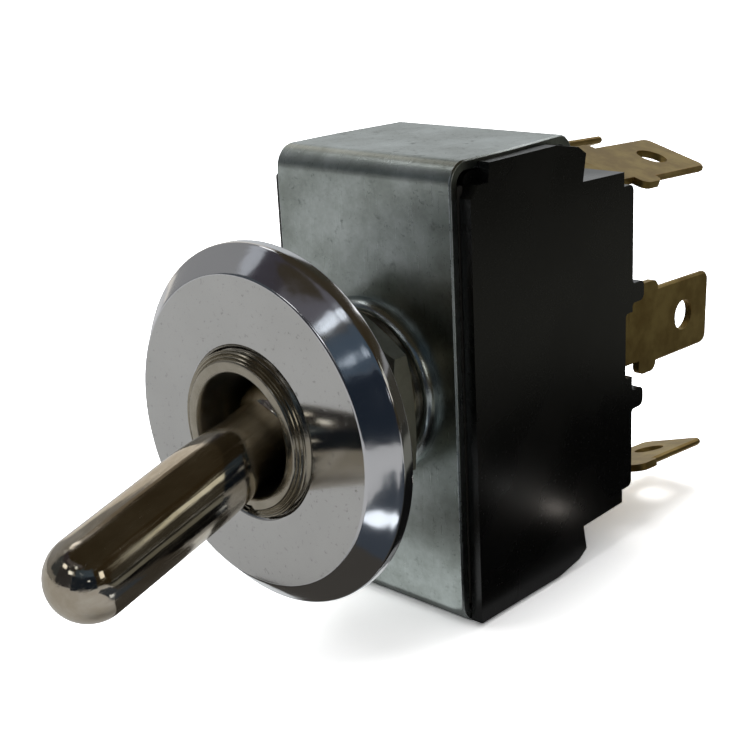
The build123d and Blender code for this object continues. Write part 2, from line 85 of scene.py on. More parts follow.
# %% A socket that can be calculated with
class Field:
    """One output socket of a node, with the operators that the finishes below use."""

    def __init__(self, nodes, socket):
        self.nodes = nodes
        self.socket = socket

    def math(self, operation, first, second):
        """The Math node for an operation on two fields, or on a field and a number."""
        return self.nodes.node("ShaderNodeMath", {"operation": operation}, {0: first, 1: second})

    def __add__(self, other):
        return self.math("ADD", self, other)

    def __mul__(self, other):
        return self.math("MULTIPLY", self, other)

    def __sub__(self, other):
        return self.math("SUBTRACT", self, other)

    def __rsub__(self, other):
        return self.math("SUBTRACT", other, self)

    def __pow__(self, other):
        return self.math("POWER", self, other)

    __radd__ = __add__
    __rmul__ = __mul__

    def ramp(self, low, high):
        """Smoothly carries low..high onto 0..1 and stops there. With low above high it falls."""
        settings = {"interpolation_type": "SMOOTHSTEP"}
        values = {"Value": self, "From Min": low, "From Max": high}
        return self.nodes.node("ShaderNodeMapRange", settings, values)


print("Field is ready")

# %% [markdown]
# ## Any other node
#
# The rest of the nodes come from one method. A node's settings come first, because some of them decide
# which sockets it has, and then the values or links of its sockets. The class holds nothing but a node
# tree, so that a material and the world can both use it.

# %% A tree of nodes
class Nodes:
    """A node tree, with one method that adds any node to it."""

    def __init__(self, tree):
        self.tree = tree

    def node(self, kind, settings=None, sockets=None, out=0):
        """Adds a node and gives back one of its outputs."""
        made = self.tree.nodes.new(kind)
        for setting, value in (settings or {}).items():
            setattr(made, setting, value)
        for key, value in (sockets or {}).items():
            if isinstance(value, Field):
                self.tree.links.new(value.socket, made.inputs[key])
            else:
                made.inputs[key].default_value = value
        return Field(self, made.outputs[out])


print("Nodes is ready")

# %% [markdown]
# ## A finish
#
# A finish is one material: a principled shader whose constant values are set on its own sockets, and
# whose varying ones are fed by fields. Places are read in the object's own coordinates, so a groove
# stays on its piece from every side. The Mix node has a set of sockets for each kind of value, and the
# three numbers below are those of its colours.

# %% A material built from fields
MIX_FIRST, MIX_SECOND, MIX_RESULT = 6, 7, 2


class Finish(Nodes):
    """A principled material, built node by node."""

    def __init__(self, name, **constants):
        self.material = bpy.data.materials.new(name)
        self.material.use_nodes = True
        super().__init__(self.material.node_tree)
        self.shader = self.tree.nodes["Principled BSDF"]
        for socket, value in constants.items():
            self.shader.inputs[socket.replace("_", " ")].default_value = value

    def feed(self, **links):
        """Links fields to the shader's sockets."""
        for socket, field in links.items():
            self.tree.links.new(field.socket, self.shader.inputs[socket.replace("_", " ")])

    def squeezed(self, vector, scale):
        """A vector times scale: a pattern gets finer along an axis whose scale is above 1."""
        return self.node("ShaderNodeVectorMath", {"operation": "MULTIPLY"}, {0: vector, 1: scale})

    def place(self, scale=(1.0, 1.0, 1.0)):
        """The object's own coordinates in millimetres, times scale."""
        where = self.node("ShaderNodeTexCoord", out="Object")
        return self.squeezed(where, tuple(s / MM for s in scale))

    def axis(self, vector, letter):
        """One coordinate of a vector."""
        return self.node("ShaderNodeSeparateXYZ", None, {0: vector}, out=letter)

    def from_axis(self, vector):
        """How far a place is from the bushing's axis."""
        across, height = self.axis(vector, "X"), self.axis(vector, "Z")
        return (across * across + height * height) ** 0.5

    def noise(self, vector, size, detail=3.0, roughness=0.5):
        """Cloudy noise whose patches are about size across."""
        values = {"Vector": vector, "Scale": 1.0 / size, "Detail": detail, "Roughness": roughness}
        return self.node("ShaderNodeTexNoise", {"normalize": True}, values, out="Fac")

    def blend(self, factor, first, second):
        """One colour fading into another. Each may be a colour or a coloured field."""
        first, second = [c if isinstance(c, Field) else (*c, 1.0) for c in (first, second)]
        values = {"Factor": factor, MIX_FIRST: first, MIX_SECOND: second}
        return self.node("ShaderNodeMix", {"data_type": "RGBA"}, values, out=MIX_RESULT)

    def bump(self, height, strength, distance=0.05):
        """Feeds the shader's normal from a height, whose range stands for distance."""
        values = {"Height": height, "Strength": strength, "Distance": distance * MM}
        self.feed(Normal=self.node("ShaderNodeBump", None, values))


print("Finish is ready")

# %% [markdown]
# ## Zinc-plated steel
#
# The bracket is folded from sheet that was rolled, plated and passivated. It shows fine streaks along
# the rolling direction, bluish clouds where the plating is thicker, and small dull stains and freckles.
# A stain changes the colour and the roughness together, because a dull spot is rough as well as dark.

# %% The bracket's finish
zinc = Finish("zinc_plate", Metallic=1.0)
spot = zinc.place()
cloud = zinc.noise(spot, size=5.5, detail=6.0, roughness=0.7)
stain = zinc.noise(spot, size=1.1, detail=6.0, roughness=0.7).ramp(0.56, 0.76)
streak = zinc.noise(zinc.place((9.0, 0.25, 0.25)), size=1.0, roughness=0.6)
rolled = zinc.noise(zinc.place((14.0, 0.12, 0.3)), size=1.0, detail=2.0)
grain = zinc.noise(spot, size=0.12, detail=2.0)
dark_part = cloud.ramp(0.62, 0.42)
freckle = zinc.noise(spot, size=0.34, roughness=0.6).ramp(0.60, 0.72) * dark_part
plate_colour = zinc.blend(cloud.ramp(0.3, 0.7), (0.285, 0.315, 0.29), (0.50, 0.545, 0.53))
stain_colour = zinc.blend(grain, (0.10, 0.115, 0.105), (0.21, 0.235, 0.215))
zinc.feed(Base_Color=zinc.blend(stain * 0.6 + freckle * 0.55, plate_colour, stain_colour))
zinc.feed(Roughness=0.23 + streak * 0.13 + stain * 0.18 + freckle * 0.1)
zinc.bump(rolled * 0.7 + streak * 0.5 + grain * 0.6, 0.16)
print("zinc nodes:", len(zinc.tree.nodes))

# %% [markdown]
# The folded and sheared edges get a lighter finish of their own, which the rounding of the edges puts on
# later. Its lighter colour is a painted highlight along the edges.

# %% The bracket's edges
zinc_edge_highlight = Finish("zinc_plate_edge_highlight", Metallic=1.0)
edge_mottle = zinc_edge_highlight.noise(zinc_edge_highlight.place(), size=1.2, roughness=0.6)
# painted highlight: the edges are coloured lighter than the plate
edge_highlight_colour = zinc_edge_highlight.blend(edge_mottle.ramp(0.3, 0.7), (0.42, 0.46, 0.46), (0.72, 0.76, 0.77))
zinc_edge_highlight.feed(Base_Color=edge_highlight_colour, Roughness=0.20 + edge_mottle * 0.16)
print("zinc edge nodes:", len(zinc_edge_highlight.tree.nodes))

# %% [markdown]
# ## Chrome
#
# The lever is polished and chromed. Handling leaves faint smears and fine scuffs along the bat, which
# change the roughness far more than the colour. The scuffs are noise that is turned with the lever and
# stretched along it. A long, weak ripple of the surface bends the reflections as hand polishing does.

# %% The lever's finish
chrome = Finish("lever_chrome", Metallic=1.0)
smear = chrome.noise(chrome.place((1.0, 0.45, 1.0)), size=2.6, detail=4.0, roughness=0.6)
along_bat = chrome.node(
    "ShaderNodeVectorRotate",
    {"rotation_type": "X_AXIS"},
    {"Vector": chrome.place(), "Angle": -radians(lever_tilt)},
)
long_streaks = chrome.squeezed(along_bat, (3.2, 0.10, 3.2))
scuff = chrome.noise(long_streaks, size=1.0, detail=4.0, roughness=0.65).ramp(0.45, 0.72)
pits = chrome.noise(chrome.place(), size=0.3, roughness=0.6).ramp(0.62, 0.74)
waver = chrome.noise(chrome.place((0.45, 0.16, 0.45)), size=1.0, detail=1.0, roughness=0.4)
chrome_colour = chrome.blend(smear.ramp(0.3, 0.75), (0.42, 0.365, 0.28), (0.63, 0.58, 0.50))
chrome.feed(Base_Color=chrome_colour)
chrome.feed(Roughness=0.07 + smear.ramp(0.45, 0.8) * 0.08 + scuff * 0.16 + pits * 0.10)
chrome.bump(waver + scuff * 0.08 + pits * 0.02, 0.12, 0.3)
print("chrome nodes:", len(chrome.tree.nodes))

# %% [markdown]
# ## Nickel
#
# The bushing is turned brass under a warm nickel plate, so it keeps lathe rings round the axis. They are
# noise that is squeezed along Y, so no two rings are equal. Deep in the bore the colour is painted dark
# brown, as painted shade of the recess, and the collar at the bracket is whiter. Masks from the radius
# and from Y hold these apart.

# %% The bushing's finish
nickel = Finish("bushing_nickel", Metallic=1.0)
where = nickel.place()
along = nickel.axis(where, "Y")
mottle = nickel.noise(where, size=1.1, detail=4.0, roughness=0.6)
sparkle = nickel.noise(where, size=0.16, roughness=0.6)
ring = nickel.noise(nickel.place((0.05, 9.0, 0.05)), size=1.0, detail=2.0)
deep = along.ramp(bushing_front + 0.5, bushing_front + 2.9)
bore = nickel.from_axis(where).ramp(4.75, 4.45)
collar = along.ramp(plate_y - 1.2, plate_y - 1.0)
warm_plate = nickel.blend(mottle, (0.25, 0.225, 0.17), (0.47, 0.435, 0.365))
white_plate = nickel.blend(mottle, (0.36, 0.40, 0.40), (0.56, 0.60, 0.60))
# painted shade: deep in the bore the colour is darkened to near-black brown
bore_painted_shade = nickel.blend(mottle, (0.04, 0.032, 0.015), (0.105, 0.086, 0.044))
outside = nickel.blend(collar, warm_plate, white_plate)
nickel.feed(Base_Color=nickel.blend(bore * deep, outside, bore_painted_shade))
nickel.feed(Roughness=0.13 + mottle * 0.10 + ring * 0.05 + bore * 0.14)
nickel.bump(ring + sparkle * 0.9, 0.12)
print("nickel nodes:", len(nickel.tree.nodes))

# %% [markdown]
# ## The bezel nut's two finishes
#
# The bezel nut's front is faced on the lathe and left satin, with hair-fine rings and a few dull
# specks. Its bevel and rim are polished to a mirror. Both belong to one turned piece, so one material
# holds both: a mask made from the radius is 1 on the satin face and 0 on the bevel. The rings are noise
# of the radius alone.

# %% Satin face, mirror bevel
bezel_metal = Finish("bezel_plate", Metallic=1.0)
here = bezel_metal.place()
radius = bezel_metal.from_axis(here)
inside_bevel = radius.ramp(face_radius - 0.05, face_radius - 0.15)
at_front = bezel_metal.axis(here, "Y").ramp(bezel_face + 0.1, bezel_face + 0.02)
on_face = inside_bevel * at_front
on_bevel = 1.0 - on_face
rings = bezel_metal.node(
    "ShaderNodeTexNoise",
    {"noise_dimensions": "1D", "normalize": True},
    {"W": radius * 7.0, "Scale": 1.0, "Detail": 3.0, "Roughness": 0.7},
    out="Fac",
)
haze = bezel_metal.noise(here, size=5.0, roughness=0.55)
speck = bezel_metal.noise(here, size=0.45, roughness=0.7).ramp(0.59, 0.68)
dent = bezel_metal.noise(here, size=2.2, detail=2.0)
clean_satin = bezel_metal.blend(haze, (0.475, 0.473, 0.46), (0.56, 0.558, 0.545))
dull_satin = bezel_metal.blend(haze, (0.25, 0.248, 0.235), (0.32, 0.318, 0.305))
satin = bezel_metal.blend(speck * 0.5, clean_satin, dull_satin)
mirror = bezel_metal.blend(haze, (0.60, 0.605, 0.63), (0.70, 0.705, 0.72))
rough_satin = 0.06 + haze * 0.06 + speck * 0.15
rough_mirror = 0.085 + haze * 0.07
bezel_metal.feed(Base_Color=bezel_metal.blend(on_face, mirror, satin))
bezel_metal.feed(Roughness=on_face * rough_satin + on_bevel * rough_mirror)
bezel_metal.bump(rings * on_face * 0.012 + dent * on_bevel, 0.13, 0.2)
print("bezel nodes:", len(bezel_metal.tree.nodes))

# %% [markdown]
# ## The dark hex nut
#
# The hex nut wears a dark nickel plate, a little worn. Patches of wear change its colour and its
# roughness, and a fine bump stands for the tooling marks.

# %% Hex nut
dark_nickel = Finish("dark_nickel_plate", Metallic=1.0)
worn = dark_nickel.noise(dark_nickel.place(), size=1.4, detail=4.0, roughness=0.6)
dark_nickel.feed(Base_Color=dark_nickel.blend(worn, (0.22, 0.22, 0.18), (0.52, 0.52, 0.47)))
dark_nickel.feed(Roughness=0.24 + worn * 0.16)
dark_nickel.bump(dark_nickel.noise(dark_nickel.place(), size=0.3), 0.06)
print("hex nut nodes:", len(dark_nickel.tree.nodes))

# %% [markdown]
# ## Black moulding
#
# The base is a hard moulding compound, black and glossy, with the faint ripple of its mould and a
# little dust. Its colour is nearly nothing, so all that shows is gloss: the roughness and the bump do
# the work here.

# %% The base's finish
black = Finish("black_moulding", Specular_IOR_Level=0.5)
ripple = black.noise(black.place(), size=5.5, detail=2.0, roughness=0.4)
fleck = black.noise(black.place(), size=0.35, detail=4.0, roughness=0.65)
dust = fleck.ramp(0.60, 0.78)
near_black, dusty_black = (0.0012, 0.0012, 0.0011), (0.0085, 0.009, 0.008)
black.feed(Base_Color=black.blend(dust * 0.5 + ripple * 0.3, near_black, dusty_black))
black.feed(Roughness=0.24 + ripple.ramp(0.35, 0.7) * 0.08 + dust * 0.12)
black.bump(ripple * 0.8 + fleck * 0.12, 0.10, 0.2)
print("moulding nodes:", len(black.tree.nodes))

# %% [markdown]
# ## Brass
#
# The blades are stamped from brass sheet and have dulled to a beige brown, in soft patches, with the
# sheet's drawing lines along them. Their edges and holes stay more orange, where the shear left bare
# metal, so they get a finish of their own as the bracket's edges do.

# %% The blades' finishes
brass = Finish("blade_brass", Metallic=1.0)
tarnish = brass.noise(brass.place(), size=2.4, detail=4.0, roughness=0.6)
drawn = brass.noise(brass.place((6.0, 0.3, 6.0)), size=1.0, roughness=0.6)
tarnished, yellow = (0.35, 0.235, 0.073), (0.55, 0.41, 0.155)
brass.feed(Base_Color=brass.blend(tarnish.ramp(0.3, 0.7), tarnished, yellow))
brass.feed(Roughness=0.36 + tarnish * 0.12 + drawn * 0.08)
brass.bump(drawn * 0.6 + brass.noise(brass.place(), size=0.2) * 0.4, 0.08)

brass_edge = Finish("blade_brass_edge", Metallic=0.9)
sheared = brass_edge.noise(brass_edge.place(), size=0.5, roughness=0.6)
brass_edge.feed(Base_Color=brass_edge.blend(sheared, (0.50, 0.24, 0.06), (0.78, 0.45, 0.16)))
brass_edge.feed(Roughness=0.30 + sheared * 0.15)
print("finishes so far:", [m.name for m in bpy.data.materials])

# %% [markdown]
# ## Finishes for the inside
#
# The mechanism is sealed in the base, but each piece is a real part and gets its own finish: natural
# nylon, fibre card, spring wire, contact silver, brass, and ground steel for the pivot pin. They differ
# in their numbers only, so one helper makes them all.

# %% Inner finishes
def inner_finish(name, dark, light, rough, metallic, size):
    """A finish that varies a little in colour and roughness over patches of the given size."""
    finish = Finish(name, Metallic=metallic)
    patch = finish.noise(finish.place(), size=size, detail=4.0, roughness=0.6)
    fine = finish.noise(finish.place(), size=size / 8.0, detail=2.0)
    finish.feed(Base_Color=finish.blend(patch, dark, light), Roughness=rough + fine * 0.12)
    finish.bump(fine, 0.06)
    return finish


nylon = inner_finish(
    "natural_nylon", (0.66, 0.63, 0.55), (0.78, 0.76, 0.69), rough=0.42, metallic=0.0, size=2.0
)
card = inner_finish(
    "fibre_card", (0.012, 0.011, 0.009), (0.035, 0.031, 0.026), rough=0.72, metallic=0.0, size=0.8
)
wire = inner_finish(
    "spring_wire", (0.42, 0.42, 0.43), (0.56, 0.56, 0.57), rough=0.26, metallic=1.0, size=0.6
)
silver = inner_finish(
    "contact_silver", (0.78, 0.77, 0.75), (0.88, 0.87, 0.85), rough=0.22, metallic=1.0, size=0.7
)
ground = inner_finish(
    "ground_steel", (0.50, 0.50, 0.50), (0.62, 0.62, 0.62), rough=0.18, metallic=1.0, size=0.5
)
rocker_brass = inner_finish(
    "rocker_brass", (0.60, 0.42, 0.20), (0.72, 0.54, 0.28), rough=0.30, metallic=1.0, size=1.5
)
print("all finishes:", len(bpy.data.materials))

# %% [markdown]
# ## From a mesh to a dressed piece
#
# Every shape below is built in bmesh and ends in the same way. It is welded, turned into an object with
# smooth shading that stops at sharp edges, and given its finish. It also rides on its moving body and
# stands for the solid that it replaces.

# %% Finishing and dressing a mesh
def finished(name, mesh, smooth_angle=40.0):
    """Turns a bmesh into an object that is shaded smooth up to an angle in degrees."""
    bmesh.ops.remove_doubles(mesh, verts=mesh.verts, dist=1e-8)
    bmesh.ops.recalc_face_normals(mesh, faces=mesh.faces)
    data = bpy.data.meshes.new(name)
    mesh.to_mesh(data)
    mesh.free()
    data.shade_smooth()
    data.set_sharp_from_angle(angle=radians(smooth_angle))
    piece = bpy.data.objects.new(name, data)
    bpy.context.scene.collection.objects.link(piece)
    return piece


def dress(piece, finish, body, slot, *nodes):
    """Gives a piece its finish, unless it has one, and its place in the assembly."""
    if not piece.data.materials:
        piece.data.materials.append(finish.material)
    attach(piece, body)
    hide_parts(*nodes)
    print(piece.name, "faces:", len(piece.data.polygons))


# %% [markdown]
# ## Turned pieces
#
# The bezel nut, the bushing and the lever are turned on a lathe. A lathe is a profile swept round an
# axis, so one helper spins a list of (radius, y) points. Another puts a small arc in each corner, which
# is what catches the light on polished metal.

# %% Rounding a profile and spinning it
def rounded(points, radius, steps=5):
    """A profile with each inner corner replaced by an arc, made of steps + 1 points."""
    most = 0.45  # the share of a side that one arc may take
    out = [points[0]]
    for before, corner, after in zip(points, points[1:], points[2:]):
        middle = Vector(corner)
        back, onward = Vector(before) - middle, Vector(after) - middle
        cut = min(radius, back.length * most, onward.length * most)
        start = middle + back.normalized() * cut
        end = middle + onward.normalized() * cut
        for i in range(steps + 1):
            t = i / steps
            point = start.lerp(middle, t).lerp(middle.lerp(end, t), t)
            out.append((point.x, point.y))
    out.append(points[-1])
    return out


def spun(name, profile, segments):
    """A mesh object: the (radius, y) profile spun round the Y axis."""
    mesh = bmesh.new()
    turn = [2 * pi * i / segments for i in range(segments)]
    circles = []
    for r, y in profile:
        if r < 1e-6:  # a point on the axis is a circle of one vertex
            circles.append([mesh.verts.new((0.0, y * MM, 0.0))])
        else:
            places = [(r * cos(a) * MM, y * MM, r * sin(a) * MM) for a in turn]
            circles.append([mesh.verts.new(place) for place in places])
    for one, two in zip(circles, circles[1:]):
        for i in range(segments):
            j = (i + 1) % segments
            corners = [one[i % len(one)], one[j % len(one)], two[j % len(two)], two[i % len(two)]]
            unique = list(dict.fromkeys(corners))
            if len(unique) > 2:
                mesh.faces.new(unique)
    return finished(name, mesh)


print("rounded and spun are ready")

# %% [markdown]
# ### Bezel nut
#
# The bezel nut is a disc with a wide polished bevel and a short rim. Its satin face meets the bevel in
# a crisp edge, and the hole has a tiny chamfer, where the thread starts.

# %% Bezel nut
bezel_hole = 5.97
bezel_profile = [
    (bezel_hole, bezel_back),
    (12.87, bezel_back),
    (12.89, bezel_back - 0.9),
    (12.50, bezel_back - 1.25),
    (face_radius, bezel_face),
    (bezel_hole + 0.28, bezel_face),
    (bezel_hole, bezel_face + 0.28),
    (bezel_hole, bezel_back),
]
bezel = spun("bezel_nut_turned", rounded(bezel_profile, 0.16), 224)
dress(bezel, bezel_metal, "body", "satin_nickel", "bezel_nut")

# %% [markdown]
# ### The bushing's thread
#
# Rings of equal height would look like washers, so the thread is a true helix. Every point of the
# barrel moves inwards by how far it is, along Y, from the crest of its own turn. The thread runs out
# softly at both ends.

# %% How deep the thread is at a point
thread_front = bushing_front + 0.35
thread_back = plate_y - 1.5
thread_relief = 0.38
crest_share, flank_share = 0.12, 0.8  # of half a turn
front_runout, back_runout = 0.5, 0.8


def thread_depth(y, angle):
    """How far a point of the barrel lies under the crest."""
    if not thread_front <= y <= thread_back:
        return 0.0
    turn = (y / thread_pitch + angle / (2 * pi)) % 1.0
    from_crest = abs(turn - 0.5) * 2.0
    flank = max(0.0, min(1.0, (from_crest - crest_share) / flank_share))
    runout = min(1.0, (thread_back - y) / back_runout, (y - thread_front) / front_runout)
    return thread_relief * flank * max(0.0, runout)


print("the thread is deepest at", max(thread_depth(i / 50, 0.0) for i in range(50)), "mm")

# %% [markdown]
# ### The bushing's profile
#
# The profile runs from the worn start of the thread, over the barrel and the collar, to the end that is
# swaged over the bracket, and back through the bore. The bore is narrow at the pivot pin and opens both
# ways, so that the lever can swing.

# %% The bushing's outline
collar_front = plate_y - 1.1
start_of_thread = [
    (5.20, 0.0), (5.27, 0.03), (5.32, 0.12), (5.38, 0.24), (5.45, 0.18), (5.52, 0.14), (5.57, 0.22),
    (5.61, 0.36), (5.68, 0.30), (5.76, 0.26), (5.81, 0.33), (5.84, 0.44), (5.90, 0.42),
]
outer = [(r, bushing_front + back) for r, back in start_of_thread]
y = bushing_front + 0.46
barrel_end = collar_front - 0.02
while y < barrel_end:
    outer.append((thread_radius, y))
    y += thread_pitch / 9  # nine points to a turn
collar_edge = [(thread_radius, collar_front), (6.25, collar_front), (6.55, plate_y - 0.95)]
outer += rounded(collar_edge, 0.1, 3)
outer += [(6.72, plate_y - 0.75), (6.82, plate_y - 0.5), (6.85, plate_y - 0.3), (6.85, plate_y)]
outer += [(5.5, plate_y), (5.5, plate_y + 0.8), (6.03, plate_y + 0.8), (5.85, plate_y + 1.2)]
inner_bore = [
    (4.75, plate_y + 1.2),
    (3.55, pivot_y + 1.3),
    (3.55, pivot_y - 1.3),
    (4.38, bushing_front + 0.35),
    (4.44, bushing_front + 0.12),
    (4.56, bushing_front + 0.02),
    (4.66, bushing_front),
]
print("points in the bushing's outline:", len(outer) + len(inner_bore))

# %% [markdown]
# ### The bushing
#
# The outline is spun in columns of points. The keyway at the bottom is cut by holding the columns
# inside its width down to its floor, with two columns close together at each of its walls, so that the
# walls stay steep.

# %% Bushing
key_half_width = 0.9
key_floor = 4.95


def bushing_columns():
    """The angles of the columns: 180 even ones, and a close pair at each wall of the keyway."""
    wall_angle, wall_step = atan2(-5.0, key_half_width), 0.004
    angles = [2 * pi * i / 180 for i in range(180)]
    angles += [wall_angle, wall_angle - wall_step]
    angles += [-pi - wall_angle, -pi - wall_angle + wall_step]
    return sorted(a % (2 * pi) for a in angles)


def bushing_mesh(angles):
    """The barrel with its thread and keyway, the collar, the bore and the swaged end."""
    mesh = bmesh.new()
    rows = []
    for number, (r, y) in enumerate(outer + inner_bore):
        threaded = abs(r - thread_radius) < 0.01
        may_be_cut = number < len(outer) and y < barrel_end
        row = []
        for a in angles:
            out = r - thread_depth(y, a) if threaded else r
            if may_be_cut and sin(a) < 0 and abs(out * cos(a)) < key_half_width:
                out = min(out, key_floor)
            row.append(mesh.verts.new((out * cos(a) * MM, y * MM, out * sin(a) * MM)))
        rows.append(row)
    count = len(angles)
    for one, two in zip(rows, rows[1:] + rows[:1]):
        for i in range(count):
            j = (i + 1) % count
            mesh.faces.new((one[i], one[j], two[j], two[i]))
    return mesh


bushing = finished("bushing_threaded", bushing_mesh(bushing_columns()), 50.0)
dress(bushing, nickel, "body", "nickel_plate", "bushing")

# %% [markdown]
# ### Lever
#
# The lever is turned too: a round tip, a straight bat, a long soft taper, a thinner neck, and then its
# pivot ball and the stem inside. It is spun upright about Y and then swung about the pivot to the lower
# position, as in the photograph.

# %% The lever's outline
tip_y = pivot_y - 18.3
neck_radius, ball_radius, stem_radius = 2.62, 3.45, 1.5
taper_from, taper_length = pivot_y - 9.1, 5.4


def even_steps(first, last, count):
    """count + 1 numbers, evenly spaced from first to last."""
    return [first + (last - first) * i / count for i in range(count + 1)]


tip = [(lever_radius * sin(a), tip_y - lever_radius * cos(a)) for a in even_steps(0, pi / 2, 22)]
straight = [(lever_radius, tip_y + 0.3)]
slimming = lever_radius - neck_radius
taper = [
    (neck_radius + slimming * (1 + cos(pi * t)) / 2, taper_from + taper_length * t)
    for t in even_steps(0, 1, 14)
]
neck = [(neck_radius, pivot_y - 3.2)]
ball = [
    (ball_radius * sin(a), pivot_y + ball_radius * cos(a)) for a in even_steps(pi - 0.86, 0.45, 20)
]
stem_end = pivot_y + 15.5
stem = [
    (stem_radius, pivot_y + 3.1),
    (stem_radius, stem_end - 0.1),
    (stem_radius - 0.1, stem_end),
    (0.0, stem_end),
]
lever = spun("lever_chromed", tip + straight + taper + neck + ball + stem, 128)
print("the lever's tip is", round(pivot_y - tip_y + lever_radius, 2), "mm from its pivot")

# %% [markdown]
# The swing is a rotation about the pivot pin: move the pin to the origin, rotate, move it back.

# %% Swing and dress the lever
pivot = Matrix.Translation((0.0, pivot_y * MM, 0.0))
swing = pivot @ Matrix.Rotation(radians(lever_tilt), 4, "X") @ pivot.inverted()
lever.data.transform(swing)
dress(lever, chrome, "lever", "chrome_lever", "lever")

# %% [markdown]
# ## Folded, stamped and moulded pieces
#
# These solids have the right shape already and only lack the small rounding that every real edge has.
# A copy of the solid's mesh is welded, its flat areas are joined back into single faces, and a narrow
# bevel rounds the edges that are sharp. The copy then stands for the solid. A flat face with a hole in
# it can't be one polygon in a mesh, so such a face is first cut in two across the hole.

# %% Edge rounding for a solid
flat_within, sharp_from = radians(1.0), radians(28.0)


def halved(mesh, y):
    """Cuts a bmesh across at y and marks the cut as a seam, so that it isn't joined again."""
    everything = mesh.verts[:] + mesh.edges[:] + mesh.faces[:]
    cut = bmesh.ops.bisect_plane(
        mesh, geom=everything, plane_co=(0, y * MM, 0), plane_no=(0, 1, 0), dist=1e-7
    )
    for part in cut["geom_cut"]:
        if isinstance(part, bmesh.types.BMEdge):
            part.seam = True


def softened(node, width, finish, slot, edge_finish=None, split_at=None):
    """Dresses a copy of a CAD node whose edges are rounded by width."""
    mesh = bmesh.new()
    mesh.from_mesh(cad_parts[node].data)
    bmesh.ops.remove_doubles(mesh, verts=mesh.verts, dist=0.002 * MM)
    if split_at is not None:
        halved(mesh, split_at)
    bmesh.ops.dissolve_limit(
        mesh, angle_limit=flat_within, verts=mesh.verts, edges=mesh.edges, delimit={"NORMAL", "SEAM"}
    )
    piece = finished(node + "_dressed", mesh, 30.0)
    piece.data.materials.append(finish.material)
    if edge_finish:
        piece.data.materials.append(edge_finish.material)
    bevel = piece.modifiers.new("rounded_edges", "BEVEL")
    bevel.material = 1 if edge_finish else -1
    bevel.width = width * MM
    bevel.segments = 2
    bevel.limit_method = "ANGLE"
    bevel.angle_limit = sharp_from
    bevel.harden_normals = True
    bevel.miter_outer = "MITER_ARC"
    even = piece.modifiers.new("flat_faces_stay_flat", "WEIGHTED_NORMAL")
    even.keep_sharp = True
    even.weight = 90
    bpy.context.view_layer.update()
    rounded_piece = piece.evaluated_get(bpy.context.evaluated_depsgraph_get())
    shaped = bpy.data.meshes.new_from_object(rounded_piece)
    piece.modifiers.clear()
    piece.data = shaped
    dress(piece, finish, "body", slot, node)


# %% [markdown]
# The bracket's folds and the nut's corners are rounded by a tenth of a millimetre, and the moulding's
# edges by a little more, because a mould has no sharp corners.

# %% Bracket, base and hex nut
softened("bracket", 0.10, zinc, "zinc_steel", zinc_edge_highlight)
softened("base", 0.14, black, "black_moulding")
softened("hex_nut", 0.10, dark_nickel, "dark_nickel")

# %% [markdown]
# Each blade has a hole near its end. The cut across the blade goes through the middle of that hole.

# %% Blades
blade_hole_y = 34.55
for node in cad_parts:
    if node.startswith("terminal_"):
        softened(node, 0.10, brass, "blade_brass", brass_edge, blade_hole_y)

# %% [markdown]
# The pieces inside keep their solids and take their finishes directly.

# %% Inner pieces
inner_finishes = {
    "actuator": nylon,
    "insulator_card": card,
    "pivot_pin": ground,
    "plunger_right": rocker_brass,
    "plunger_left": rocker_brass,
    "plunger_spring_right": wire,
    "plunger_spring_left": wire,
    "rocker_right": rocker_brass,
    "rocker_left": rocker_brass,
}
dressed = 0
for node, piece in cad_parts.items():
    finish = inner_finishes.get(node, silver if "_contact_" in node else None)
    if finish is None:
        continue
    piece.data.materials.clear()
    piece.data.materials.append(finish.material)
    piece.data.shade_smooth()
    piece.data.set_sharp_from_angle(angle=radians(35.0))
    dressed += 1
print("inner pieces dressed:", dressed)

# %% [markdown]
# ## Studio
#
# The switch stands on its lower flange on a pale sheet. The sheet is matt and keeps the shadow. To the
# camera it is paler than it is to the light, and it has a touch of light of its own, so that it reads
# white in the picture without more light on the switch.

# %% Floor
floor = bpy.data.objects.new("floor", bpy.data.meshes.new("floor"))
reach = 6000 * MM
drop = (floor_z - 0.02) * MM
corners = [(-reach, -reach, drop), (reach, -reach, drop), (reach, reach, drop), (-reach, reach, drop)]
floor.data.from_pydata(corners, [], [(0, 1, 2, 3)])
bpy.context.scene.collection.objects.link(floor)
pale = Finish("pale_sheet", Roughness=1.0, Specular_IOR_Level=0.0, Emission_Strength=1.0)
seen = pale.node("ShaderNodeLightPath", out="Is Camera Ray")
pale.feed(Base_Color=pale.blend(seen, (0.72, 0.72, 0.72), (3.1, 3.1, 3.1)))
pale.feed(Emission_Color=pale.blend(seen, (0.0, 0.0, 0.0), (0.06, 0.06, 0.06)))
floor.data.materials.append(pale.material)
print("the floor lies at", round(drop / MM, 2), "mm")

# %% [markdown]
# The world is white to the camera and through clear things. Polished metal sees a grey room instead,
# and the matt surfaces get their fill light from it.

# %% World
world = bpy.data.worlds.new("studio")
bpy.context.scene.world = world
world.use_nodes = True
background = world.node_tree.nodes["Background"]
background.inputs["Color"].default_value = (1.0, 1.0, 1.0, 1.0)
fill_level, room_level = 0.36, 0.30
sky = Nodes(world.node_tree)
camera_ray = sky.node("ShaderNodeLightPath", out="Is Camera Ray")
clear_ray = sky.node("ShaderNodeLightPath", out="Is Transmission Ray")
mirror_ray = sky.node("ShaderNodeLightPath", out="Is Glossy Ray")
to_white, to_room = 1.0 - fill_level, room_level - fill_level
strength = (camera_ray + clear_ray) * to_white + mirror_ray * to_room + fill_level
sky.tree.links.new(strength.socket, background.inputs["Strength"])
print("world fill", fill_level, "room", room_level)

# %% [markdown]
# ### Lamps
#
# Two soft rectangular lamps light the switch, a large one almost overhead and one from the left. They
# are hidden from mirrors, because the reflections get panels of their own below.

